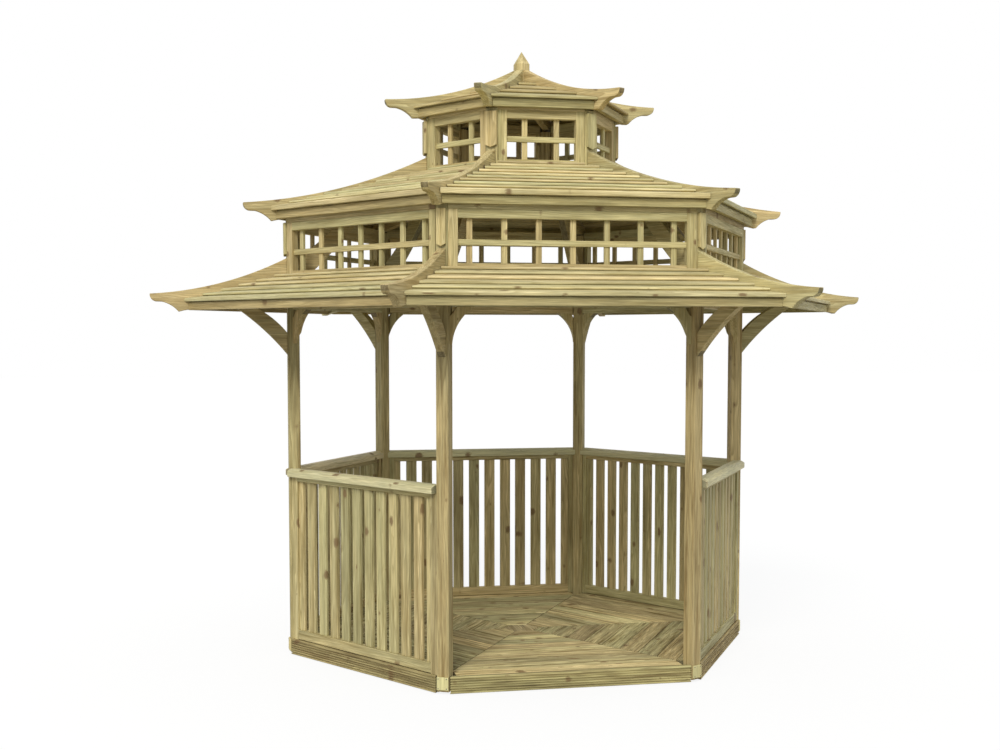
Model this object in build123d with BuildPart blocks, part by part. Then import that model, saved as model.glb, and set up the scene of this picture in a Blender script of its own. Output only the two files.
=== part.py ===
"""Hexagonal garden gazebo with a three-tier pagoda roof, in millimetres.

Two kinds of master are drawn, both looking along +X, and then turned into place about +Z.
A side master has x as the distance out from the centre to a flat side and y along that side.
A corner master has x as the distance out towards a corner post and y across the post.
"""

from build123d import *
import math
import os

os.makedirs("parts", exist_ok=True)

# Sides and corners, as angles about +Z
SIDES = {
    "front": -90,
    "front_right": -30,
    "back_right": 30,
    "back": 90,
    "back_left": 150,
    "front_left": 210,
}
CORNERS = {
    "front_left": -120,
    "front_right": -60,
    "right": 0,
    "back_right": 60,
    "back_left": 120,
    "left": 180,
}
ENTRANCE = "front"
HALF_CORNER = math.radians(30)

# Posts
POST_CIRCLE = 1400.0
POST_SIDE = 70.0
POST_EDGE = 4.0
POST_FOOT = 10.0
POST_HALF = POST_SIDE / 2
POST_FACE = POST_CIRCLE + POST_HALF

# Base and deck
DECK_TOP = 95.0
DECK_THICK = 28.0
DECK_EDGE = 1235.0
DECK_CENTRE_FLAT = 97.0
DECK_BOARDS = 9
DECK_GAP = 5.0
DECK_GROOVE = 8.0
JOIST_TOP = DECK_TOP - DECK_THICK
JOIST_WIDE = 45.0
HUB_FLAT = 60.0
SKIRT_OUT = 1263.0
SKIRT_FOOT = 2.0
SKIRT_END_GAP = 42.0
FOOT_PLATE_WIDE = 66.0
FOOT_PLATE_THICK = 10.0
FOOT_PLATE_Z = (21.0, 92.0)

# Balustrade
PANEL_IN, PANEL_OUT = 1205.0, 1250.0
PANEL_STILE = 33.0
PANEL_FOOT_RAIL = (10.0, 60.0)
PANEL_HEAD_RAIL = 27.0
RAIL_FOOT = 1080.0
RAIL_TALL = 48.0
RAIL_OUT = 1286.0
RAIL_DEEP = 95.0
RAIL_LONG = 1350.0
RAIL_BEVEL = (14.0, 26.0)
SLAT_COUNT = 12
SLAT_PITCH = 111.0
SLAT_WIDE = 72.0
SLAT_THICK = 20.0

# Beams that tie the posts, and the arched braces below them
BEAM_FOOT = 2076.0
BEAM_TOP = 2221.0
BEAM_IN, BEAM_OUT = 1190.0, 1235.0
BRACE_THICK = 45.0
BEAM_BRACE_REACH = 164.0
BEAM_BRACE_HEEL = 1875.0
BEAM_BRACE_NECK = 2030.0
HIP_BRACE_HEEL = 1808.0
HIP_BRACE_NECK = 1937.0

# Hip rafters: the curved top edge is an arc that flattens towards an ogee tail
RAFTER_THICK = 45.0
RAFTER_DEEP = 118.0
TAIL_NOSE = (34.0, 46.0)
TAIL_COVE_START = (68.0, 47.0)
TAIL_COVE_END = (165.0, 106.0)

# Roof boards: on a straight slope, each course lapping the one below it
NOSE = 19.0
BOARD_BACK = 8.0
EAVES_THICK = 28.0


class Tier:
    """One roof: its curved rafters, its straight slopes of boards and its eaves."""

    def __init__(self, tip, tip_z, tip_slope, bow, root, nose, nose_z, foot_z, rise, cover, inner, eaves, eaves_z):
        self.tip, self.tip_z, self.tip_slope, self.bow, self.root = tip, tip_z, tip_slope, bow, root
        self.nose, self.nose_z, self.foot_z = nose, nose_z, foot_z
        self.rise, self.cover, self.inner = rise, cover, inner
        self.eaves, self.eaves_z = eaves, eaves_z

    def rafter_top(self, reach):
        """Height of a hip rafter's top edge at a distance from the centre."""
        start = math.radians(self.tip_slope)
        here = math.asin(math.sin(start) + (self.tip - reach) / self.bow)
        return self.tip_z + self.bow * (math.cos(start) - math.cos(here))

    def board_line(self, reach):
        """Height of the line that the boards rest on, at a distance out to the side."""
        return self.nose_z + self.rise * (self.nose - reach)

    def noses(self):
        """Distances out to the lower edge of each course, from the eaves up."""
        count = math.ceil((self.nose - self.inner) / self.cover)
        return [self.nose - self.cover * course for course in range(count)]


LOWER = Tier(2234, 2168, 3.0, 1980, POST_FACE, 1776, 2124, 2110, 0.3145, 90, 1263, 1755, (2072, 2117))
MIDDLE = Tier(1688, 2706, 3.8, 3000, 590, 1334, 2672, 2649, 0.295, 90, 520, 1308, (2612, 2656))
UPPER = Tier(840, 3333, 0.5, 1750, 44, 596, 3279, 3271, 0.315, 150, 127, 568, (3231, 3277))

# Lattice storeys
LATTICE_DEEP = 45.0
LATTICE_STILE = 41.0
LATTICE_HEAD = 48.0
LATTICE_FOOT = 66.0
LATTICE_BAR = 32.0
LATTICE_BAR_THICK = 18.0
MIDDLE_WALL = {"out": 1262.0, "foot": BEAM_TOP, "head": 2588.0, "bars": 7, "pitch": 189.0}
UPPER_WALL = {"out": 520.0, "foot": 2872.0, "head": 3219.0, "bars": 2, "pitch": 190.0}
UPPER_POST_CIRCLE = 555.0
WALL_PLATE_TALL = 50.0
SEAT_CUT = 8.0
MIDDLE_COVER_WIDE, UPPER_COVER_WIDE = 50.0, 70.0
COVER_THICK = 18.0
COVER_POINT = 14.0
COVER_CLEAR = 8.0

# Finial
KING_FLAT = 44.0
KING_FOOT = 3360.0
FINIAL_SHOULDER = 3569.0
FINIAL_TIP = 3644.0


def side_half(reach, gap):
    """Half the width of a side at a distance out, stopped a gap short of the corner line."""
    return (reach * math.sin(HALF_CORNER) - gap) / math.cos(HALF_CORNER)


def side_outline(inner, outer, gap):
    """Plan corners of a piece that fills a side between two distances out."""
    a, b = side_half(inner, gap), side_half(outer, gap)
    return [(inner, -a), (outer, -b), (outer, b), (inner, a)]


def side_slab(inner, outer, gap, foot, head):
    """A slab along one side, mitred to the lines of its two corners."""
    with BuildPart() as slab:
        with BuildSketch(Plane.XY.offset(foot)):
            Polygon(*side_outline(inner, outer, gap), align=None)
        extrude(amount=head - foot)
    return slab.part


def turned(piece, *angles):
    """Copies of a master, each turned about the vertical centre line."""
    with BuildPart() as ring:
        for angle in angles:
            with Locations(Location((0, 0, 0), (0, 0, angle))):
                add(piece)
    return ring.part


def post_notches(circle):
    """The two post shapes at the ends of a side master, to cut clear of."""
    with BuildPart() as notch:
        with BuildSketch(Plane.XY):
            with Locations((circle, 0)):
                Rectangle(POST_SIDE, POST_SIDE)
        extrude(amount=FINIAL_TIP)
    return turned(notch.part, -30, 30)


def save(name, piece):
    """Label a finished node and write its file."""
    piece.label = name
    export_step(piece, f"parts/{name}.step")


def square_post(circle, side, foot, head, edge):
    """A square post with eased edges, its outer face square to the corner line."""
    with BuildPart() as post:
        with BuildSketch(Plane.XY.offset(foot)):
            with Locations((circle, 0)):
                Rectangle(side, side)
        extrude(amount=head - foot)
        chamfer(post.edges().filter_by(Axis.Z), length=edge)
    return post.part


def deck_segment(neighbour_posts):
    """One sixth of the deck: boards side by side, notched round the two posts."""
    pitch = (DECK_EDGE - DECK_CENTRE_FLAT) / DECK_BOARDS
    with BuildPart() as segment:
        add(side_slab(DECK_CENTRE_FLAT + DECK_GAP, DECK_EDGE, DECK_GAP / 2, JOIST_TOP, DECK_TOP))
        with BuildSketch(Plane.XY.offset(DECK_TOP - DECK_GROOVE)):
            for row in range(1, DECK_BOARDS):
                joint = DECK_CENTRE_FLAT + row * pitch
                Polygon(*side_outline(joint, joint + DECK_GAP, DECK_GAP / 4), align=None)
        extrude(amount=DECK_GROOVE, mode=Mode.SUBTRACT)
        add(neighbour_posts, mode=Mode.SUBTRACT)
    return segment.part


def balustrade_panel():
    """A framed panel of upright slats, its stiles bevelled to the posts."""
    head = RAIL_FOOT
    depth = PANEL_OUT - PANEL_IN
    middle = (PANEL_IN + PANEL_OUT) / 2
    widest = side_half(PANEL_OUT, POST_HALF)
    inner_half = side_half(PANEL_IN, POST_HALF) - PANEL_STILE
    foot_low, foot_high = (DECK_TOP + z for z in PANEL_FOOT_RAIL)
    head_low = head - PANEL_HEAD_RAIL
    with BuildPart() as panel:
        with BuildSketch(Plane.YZ.offset(PANEL_IN)):
            with Locations((0, (DECK_TOP + head) / 2)):
                Rectangle(2 * widest, head - DECK_TOP)
            with Locations((0, (foot_high + head_low) / 2)):
                Rectangle(2 * inner_half, head_low - foot_high, mode=Mode.SUBTRACT)
            with Locations((0, (DECK_TOP + foot_low) / 2)):
                Rectangle(2 * inner_half, foot_low - DECK_TOP, mode=Mode.SUBTRACT)
        extrude(amount=depth)
        with BuildSketch(Plane.YZ.offset(middle - SLAT_THICK / 2)):
            with Locations((0, (foot_low + head) / 2)):
                with GridLocations(SLAT_PITCH, 1, SLAT_COUNT, 1):
                    Rectangle(SLAT_WIDE, head - foot_low)
        extrude(amount=SLAT_THICK)
        add(side_slab(PANEL_IN, PANEL_OUT, POST_HALF, DECK_TOP, head), mode=Mode.INTERSECT)
    return panel.part


def handrail(neighbour_posts):
    """A capping rail with broad bevels on top, notched to lap the outside of both posts."""
    drop, run = RAIL_BEVEL
    top, inner = RAIL_FOOT + RAIL_TALL, RAIL_OUT - RAIL_DEEP
    with BuildPart() as rail:
        with BuildSketch(Plane.XZ.offset(-RAIL_LONG / 2)):
            Polygon(
                (inner, RAIL_FOOT),
                (RAIL_OUT, RAIL_FOOT),
                (RAIL_OUT, top - drop),
                (RAIL_OUT - run, top),
                (inner + run, top),
                (inner, top - drop),
                align=None,
            )
        extrude(amount=RAIL_LONG)
        add(neighbour_posts, mode=Mode.SUBTRACT)
    return rail.part


def beam_brace(sign):
    """An arched brace from a post's flank to the underside of a beam."""
    corner = POST_CIRCLE / 2
    plane_in = (BEAM_IN + BEAM_OUT) / 2 - BRACE_THICK / 2
    foot_y, toe_y = corner, corner - BEAM_BRACE_REACH
    neck_y = corner - 66
    belly = (corner - 78, BEAM_BRACE_HEEL + 118)
    with BuildPart() as brace:
        with BuildSketch(Plane.YZ.offset(plane_in)):
            with BuildLine():
                heel = (sign * (foot_y - 40), BEAM_BRACE_HEEL)
                toe = (sign * toe_y, BEAM_FOOT)
                ThreePointArc(heel, (sign * belly[0], belly[1]), toe)
                Polyline(
                    toe,
                    (sign * neck_y, BEAM_FOOT),
                    (sign * (foot_y - 35), BEAM_BRACE_NECK),
                    (sign * foot_y, BEAM_BRACE_NECK),
                    (sign * foot_y, BEAM_BRACE_HEEL),
                    heel,
                )
            make_face()
        extrude(amount=BRACE_THICK)
        wedge = side_slab(BEAM_IN - 10, BEAM_OUT + 10, POST_HALF, BEAM_BRACE_HEEL, BEAM_FOOT)
        add(wedge, mode=Mode.INTERSECT)
    return brace.part


def hip_rafter(tier):
    """A rafter with an upswept top edge, a parallel underside and an ogee tail."""
    root, tip = tier.root, tier.tip
    middle = (root + tip) / 2
    cove_end = (tip - TAIL_COVE_END[0], tier.tip_z - TAIL_COVE_END[1])
    cove_start = (tip - TAIL_COVE_START[0], tier.tip_z - TAIL_COVE_START[1])
    nose = (tip - TAIL_NOSE[0], tier.tip_z - TAIL_NOSE[1])
    under_middle = (root + cove_end[0]) / 2
    with BuildPart() as rafter:
        with BuildSketch(Plane.XZ.offset(-RAFTER_THICK / 2)):
            with BuildLine():
                ThreePointArc(
                    (root, tier.rafter_top(root)),
                    (middle, tier.rafter_top(middle)),
                    (tip, tier.tip_z),
                )
                ThreePointArc((tip, tier.tip_z), (tip - 8, tier.tip_z - 30), nose)
                Line(nose, cove_start)
                ThreePointArc(
                    cove_start,
                    (tip - 118, tier.tip_z - 66),
                    cove_end,
                )
                ThreePointArc(
                    cove_end,
                    (under_middle, tier.rafter_top(under_middle) - RAFTER_DEEP),
                    (root, tier.rafter_top(root) - RAFTER_DEEP * 1.1),
                )
                Line((root, tier.rafter_top(root) - RAFTER_DEEP * 1.1), (root, tier.rafter_top(root)))
            make_face()
        extrude(amount=RAFTER_THICK)
    return rafter.part


def eaves_board(tier):
    """The upright board that closes the boarding's lower edge between two rafters."""
    foot, head = tier.eaves_z
    return side_slab(tier.eaves - EAVES_THICK, tier.eaves, RAFTER_THICK / 2, foot, head)


def roof_side(tier, eaves, posts_above):
    """Lapped boards of one side of a roof, between two hip rafters and round the posts above."""
    noses = tier.noses()
    tops = noses[1:] + [tier.inner]
    outline = []
    for low, high in zip(noses, tops):
        outline.append((low, tier.board_line(low) + NOSE))
        outline.append((high, tier.board_line(high)))
    back = [(tier.inner, tier.board_line(tier.inner) - BOARD_BACK), (tier.nose, tier.foot_z)]
    widest = side_half(tier.nose, RAFTER_THICK / 2)
    with BuildPart() as side:
        with BuildSketch(Plane.XZ.offset(-widest)):
            Polygon(*outline, *back, align=None)
        extrude(amount=2 * widest)
        limit = side_slab(tier.inner, tier.nose, RAFTER_THICK / 2, tier.nose_z - 100, tier.tip_z + 400)
        add(limit, mode=Mode.INTERSECT)
        add([eaves, posts_above], mode=Mode.SUBTRACT)
    return side.part


def lattice(wall):
    """An open lattice: a frame, upright bars and one bar across them."""
    out, foot, head = wall["out"], wall["foot"], wall["head"]
    back = out - LATTICE_DEEP
    widest = side_half(out, POST_HALF)
    clear_half = side_half(back, POST_HALF) - LATTICE_STILE + 12
    low, high = foot + LATTICE_FOOT, head - LATTICE_HEAD
    with BuildPart() as screen:
        with BuildSketch(Plane.YZ.offset(back)):
            with Locations((0, (foot + head) / 2)):
                Rectangle(2 * widest, head - foot)
            with Locations((0, (low + high) / 2)):
                Rectangle(2 * clear_half, high - low, mode=Mode.SUBTRACT)
        extrude(amount=LATTICE_DEEP)
        upright_face = back + LATTICE_DEEP / 2 - LATTICE_BAR_THICK
        with BuildSketch(Plane.YZ.offset(upright_face)):
            with Locations((0, (low + high) / 2)):
                with GridLocations(wall["pitch"], 1, wall["bars"], 1):
                    Rectangle(LATTICE_BAR, high - low)
        extrude(amount=LATTICE_BAR_THICK)
        with BuildSketch(Plane.YZ.offset(upright_face + LATTICE_BAR_THICK / 2)):
            with Locations((0, (low + high) / 2)):
                Rectangle(2 * clear_half, LATTICE_BAR)
        extrude(amount=LATTICE_BAR_THICK)
        add(side_slab(back, out, POST_HALF, foot, head), mode=Mode.INTERSECT)
    return screen.part


def corner_cover(face, width, foot, head):
    """A cover board on the outer face of a corner post, its foot cut to a point."""
    with BuildPart() as cover:
        with BuildSketch(Plane.YZ.offset(face)):
            Polygon(
                (0, foot),
                (width / 2, foot + COVER_POINT),
                (width / 2, head),
                (-width / 2, head),
                (-width / 2, foot + COVER_POINT),
                align=None,
            )
        extrude(amount=COVER_THICK)
    return cover.part


# Base: bearers on the ground, a hub, and radial joists under the deck's seams
rim_joist = side_slab(BEAM_IN, DECK_EDGE, POST_HALF, 0, JOIST_TOP)
save("rim_joists", turned(rim_joist, *SIDES.values()))

with BuildPart() as radial_joist:
    post_back = POST_CIRCLE - POST_HALF
    with BuildSketch(Plane.XY):
        with Locations(((HUB_FLAT + post_back) / 2, 0)):
            Rectangle(post_back - HUB_FLAT, JOIST_WIDE)
    extrude(amount=JOIST_TOP)
save("deck_joists", turned(radial_joist.part, *CORNERS.values()))

with BuildPart() as hub:
    with BuildSketch(Plane.XY):
        RegularPolygon(HUB_FLAT, 6, major_radius=False, rotation=30)
    extrude(amount=JOIST_TOP)
save("deck_hub", hub.part)

# Posts
post = square_post(POST_CIRCLE, POST_SIDE, POST_FOOT, BEAM_TOP, POST_EDGE)
for name, angle in CORNERS.items():
    save(f"post_{name}", turned(post, angle))

# Plain prisms that notch the pieces that fit round two neighbouring posts
post_pair = post_notches(POST_CIRCLE)
upper_post_pair = post_notches(UPPER_POST_CIRCLE)

# Deck
with BuildPart() as deck:
    add(turned(deck_segment(post_pair), *SIDES.values()))
    with BuildSketch(Plane.XY.offset(JOIST_TOP)):
        RegularPolygon(DECK_CENTRE_FLAT, 6, major_radius=False, rotation=0)
    extrude(amount=DECK_THICK)
save("deck_boards", deck.part)

skirt_board = side_slab(DECK_EDGE, SKIRT_OUT, SKIRT_END_GAP, SKIRT_FOOT, DECK_TOP)
save("skirt_boards", turned(skirt_board, *SIDES.values()))

with BuildPart() as foot_plate:
    low, high = FOOT_PLATE_Z
    with BuildSketch(Plane.YZ.offset(POST_FACE)):
        with Locations((0, (low + high) / 2)):
            Rectangle(FOOT_PLATE_WIDE, high - low)
    extrude(amount=FOOT_PLATE_THICK)
save("foot_plates", turned(foot_plate.part, *CORNERS.values()))

# Balustrade on every side but the entrance
panel = balustrade_panel()
rail = handrail(post_pair)
railed = {name: angle for name, angle in SIDES.items() if name != ENTRANCE}
for name, angle in railed.items():
    save(f"panel_{name}", turned(panel, angle))
save("handrails", turned(rail, *railed.values()))

# Beams and braces
beam = side_slab(BEAM_IN, BEAM_OUT, POST_HALF, BEAM_FOOT, BEAM_TOP)
save("ring_beams", turned(beam, *SIDES.values()))
beam_braces = [turned(beam_brace(sign), *SIDES.values()) for sign in (-1, 1)]
with BuildPart() as all_beam_braces:
    add(beam_braces)
save("beam_braces", all_beam_braces.part)

lower_rafter = hip_rafter(LOWER)
with BuildPart() as hip_brace:
    toe = (1790, 2125)
    with BuildSketch(Plane.XZ.offset(-BRACE_THICK / 2)):
        with BuildLine():
            ThreePointArc((POST_FACE, HIP_BRACE_HEEL), (1590, 1971), toe)
            Line(toe, (1720, 2190))
            ThreePointArc((1720, 2190), (1556, 2066), (POST_FACE, HIP_BRACE_NECK))
            Line((POST_FACE, HIP_BRACE_NECK), (POST_FACE, HIP_BRACE_HEEL))
        make_face()
    extrude(amount=BRACE_THICK)
    add(lower_rafter, mode=Mode.SUBTRACT)
save("hip_braces", turned(hip_brace.part, *CORNERS.values()))

# Lower roof
save("lower_hip_rafters", turned(lower_rafter, *CORNERS.values()))
lower_eaves = eaves_board(LOWER)
save("lower_eaves", turned(lower_eaves, *SIDES.values()))
save("lower_roof", turned(roof_side(LOWER, lower_eaves, post_pair), *SIDES.values()))

# Middle storey: corner posts carry the middle rafters, which sit in a notch
middle_post_top = MIDDLE.rafter_top(POST_FACE) - RAFTER_DEEP + SEAT_CUT
middle_post = square_post(POST_CIRCLE, POST_SIDE, BEAM_TOP, middle_post_top, POST_EDGE)
with BuildPart() as middle_rafter:
    add(hip_rafter(MIDDLE))
    with BuildSketch(Plane.XY.offset(BEAM_TOP)):
        with Locations((POST_CIRCLE, 0)):
            Rectangle(POST_SIDE, POST_SIDE)
    extrude(amount=middle_post_top - BEAM_TOP, mode=Mode.SUBTRACT)
save("middle_corner_posts", turned(middle_post, *CORNERS.values()))
save("middle_hip_rafters", turned(middle_rafter.part, *CORNERS.values()))
middle_screen = lattice(MIDDLE_WALL)
for name, angle in SIDES.items():
    save(f"middle_lattice_{name}", turned(middle_screen, angle))
middle_cover = corner_cover(POST_FACE, MIDDLE_COVER_WIDE, LOWER.rafter_top(POST_FACE) + COVER_CLEAR, 2590)
save("middle_corner_covers", turned(middle_cover, *CORNERS.values()))
middle_plate = side_slab(
    MIDDLE_WALL["out"] - LATTICE_DEEP,
    MIDDLE_WALL["out"],
    POST_HALF,
    MIDDLE_WALL["head"],
    MIDDLE_WALL["head"] + WALL_PLATE_TALL,
)
save("middle_wall_plates", turned(middle_plate, *SIDES.values()))
middle_eaves = eaves_board(MIDDLE)
save("middle_eaves", turned(middle_eaves, *SIDES.values()))
save("middle_roof", turned(roof_side(MIDDLE, middle_eaves, upper_post_pair), *SIDES.values()))

# Upper storey
upper_face = UPPER_POST_CIRCLE + POST_HALF
upper_post_top = UPPER.rafter_top(upper_face) - RAFTER_DEEP + SEAT_CUT
upper_post = square_post(UPPER_POST_CIRCLE, POST_SIDE, UPPER_WALL["foot"] - 10, upper_post_top, POST_EDGE)
with BuildPart() as upper_rafter:
    add(hip_rafter(UPPER))
    with BuildSketch(Plane.XY.offset(UPPER_WALL["foot"])):
        with Locations((UPPER_POST_CIRCLE, 0)):
            Rectangle(POST_SIDE, POST_SIDE)
    extrude(amount=upper_post_top - UPPER_WALL["foot"], mode=Mode.SUBTRACT)
save("upper_corner_posts", turned(upper_post, *CORNERS.values()))
save("upper_hip_rafters", turned(upper_rafter.part, *CORNERS.values()))
upper_screen = lattice(UPPER_WALL)
save("upper_lattices", turned(upper_screen, *SIDES.values()))
upper_cover = corner_cover(upper_face, UPPER_COVER_WIDE, MIDDLE.rafter_top(upper_face) + COVER_CLEAR, 3210)
save("upper_corner_covers", turned(upper_cover, *CORNERS.values()))
upper_plate = side_slab(
    UPPER_WALL["out"] - LATTICE_DEEP,
    UPPER_WALL["out"],
    POST_HALF,
    UPPER_WALL["head"],
    UPPER_WALL["head"] + WALL_PLATE_TALL,
)
save("upper_wall_plates", turned(upper_plate, *SIDES.values()))
upper_eaves = eaves_board(UPPER)
save("upper_eaves", turned(upper_eaves, *SIDES.values()))
save("upper_roof", turned(roof_side(UPPER, upper_eaves, upper_post_pair), *SIDES.values()))

# King post with a pointed finial, its flats facing the rafters
with BuildPart() as king_post:
    with BuildSketch(Plane.XY.offset(KING_FOOT)):
        RegularPolygon(KING_FLAT, 6, major_radius=False, rotation=30)
    extrude(amount=FINIAL_SHOULDER - KING_FOOT)
    with BuildSketch(Plane.XY.offset(FINIAL_SHOULDER)):
        RegularPolygon(KING_FLAT, 6, major_radius=False, rotation=30)
    with BuildSketch(Plane.XY.offset(FINIAL_TIP)):
        RegularPolygon(0.5, 6, major_radius=False, rotation=30)
    loft()
save("king_post_finial", king_post.part)
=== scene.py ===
"""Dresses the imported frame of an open, six-sided garden gazebo as planed softwood.

Sizes are in millimetres and become metres when a piece is finished. Two kinds of master are
drawn, both looking along +X, and turned into place about +Z: a side master has x as the distance
out to a flat side, and a corner master has x as the distance out towards a corner post.
"""

import logging
import math
import random
from dataclasses import dataclass, field
from enum import Enum
from functools import partial
from typing import Any, Callable, Iterable, Sequence

import bmesh
import bpy
from mathutils import Matrix, Vector


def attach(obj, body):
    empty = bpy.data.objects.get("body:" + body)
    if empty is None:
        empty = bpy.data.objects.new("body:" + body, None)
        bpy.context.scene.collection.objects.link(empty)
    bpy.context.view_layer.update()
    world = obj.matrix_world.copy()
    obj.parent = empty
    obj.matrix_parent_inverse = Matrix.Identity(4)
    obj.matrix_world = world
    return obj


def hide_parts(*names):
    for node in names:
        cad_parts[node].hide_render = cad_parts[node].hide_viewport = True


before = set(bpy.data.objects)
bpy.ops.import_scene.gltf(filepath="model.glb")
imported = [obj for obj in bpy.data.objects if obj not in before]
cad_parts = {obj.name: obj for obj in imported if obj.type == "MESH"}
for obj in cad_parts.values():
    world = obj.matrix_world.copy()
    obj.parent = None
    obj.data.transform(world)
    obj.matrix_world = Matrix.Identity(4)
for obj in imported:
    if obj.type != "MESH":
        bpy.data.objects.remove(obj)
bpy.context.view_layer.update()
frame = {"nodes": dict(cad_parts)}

LOG = logging.getLogger("gazebo")
MM = 0.001
ROOT = "root"

# Degrees about +Z from +X to each side and each corner
SIDES = {
    "front": -90, "front_right": -30, "back_right": 30, "back": 90, "back_left": 150, "front_left": 210,
}
CORNERS = {
    "front_left": -120, "front_right": -60, "right": 0, "back_right": 60, "back_left": 120, "left": 180,
}
ENTRANCE = "front"
HALF_CORNER = math.radians(30)

POST_CIRCLE = 1400.0
POST_HALF = 35.0
POST_FACE = POST_CIRCLE + POST_HALF
RAFTER_THICK = 45.0
# Half the length of a side's board before its ends are sawn off
UNCUT = 1200.0
# The least angle, in radians, between two faces that makes their edge an arris
ARRIS = 0.5

Point = tuple[float, float, float]
Flat = tuple[float, float]
# Three points that an arc runs through
Curve = tuple[Flat, Flat, Flat]
Cut = tuple[Vector, Vector]


class Grain(Enum):
    """The direction that a board's grain runs in, as an axis of its master."""

    X = 0
    Y = 1
    Z = 2


def linear(hex_colour: str) -> tuple[float, float, float, float]:
    """Turns an sRGB hex colour to linear light.

    Args:
        hex_colour: A # and six hex digits.

    Returns:
        Red, green, blue and an alpha of 1.
    """
    channels = [int(hex_colour[i:i + 2], 16) / 255 for i in (1, 3, 5)]
    red, green, blue = (c / 12.92 if c <= 0.04045 else ((c + 0.055) / 1.055) ** 2.4 for c in channels)
    return red, green, blue, 1.0


def add_node(
    tree: bpy.types.NodeTree, kind: str, inputs: dict[Any, Any], settings: dict[str, Any] | None = None,
    out: Any = 0,
) -> bpy.types.NodeSocket | None:
    """Adds a node with its settings and links.

    Args:
        tree: The node tree that takes the node.
        kind: The node's type, without the prefix that all shader nodes share.
        inputs: Values, or sockets to link from, by input name or number.
        settings: Attribute names and their values.
        out: Name or number of the output that the caller wants.

    Returns:
        That output, or nothing for a node without outputs.
    """
    node = tree.nodes.new("ShaderNode" + kind)
    for name, value in (settings or {}).items():
        setattr(node, name, value)
    for key, value in inputs.items():
        if isinstance(value, bpy.types.NodeSocket):
            tree.links.new(value, node.inputs[key])
        else:
            node.inputs[key].default_value = value
    return node.outputs[out] if len(node.outputs) else None


def blank_material(name: str) -> tuple[bpy.types.Material, Callable[..., Any]]:
    """Starts a material with an empty node tree.

    Args:
        name: The material's name.

    Returns:
        The material, and add_node for its tree.
    """
    material = bpy.data.materials.new(name)
    material.use_nodes = True
    material.node_tree.nodes.clear()
    return material, partial(add_node, material.node_tree)


def pattern_scale(along: float, across: float) -> Point:
    """Scale of a pattern from its size in millimetres along the grain and across it."""
    return 1 / along, 1 / across, 1 / across


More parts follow.
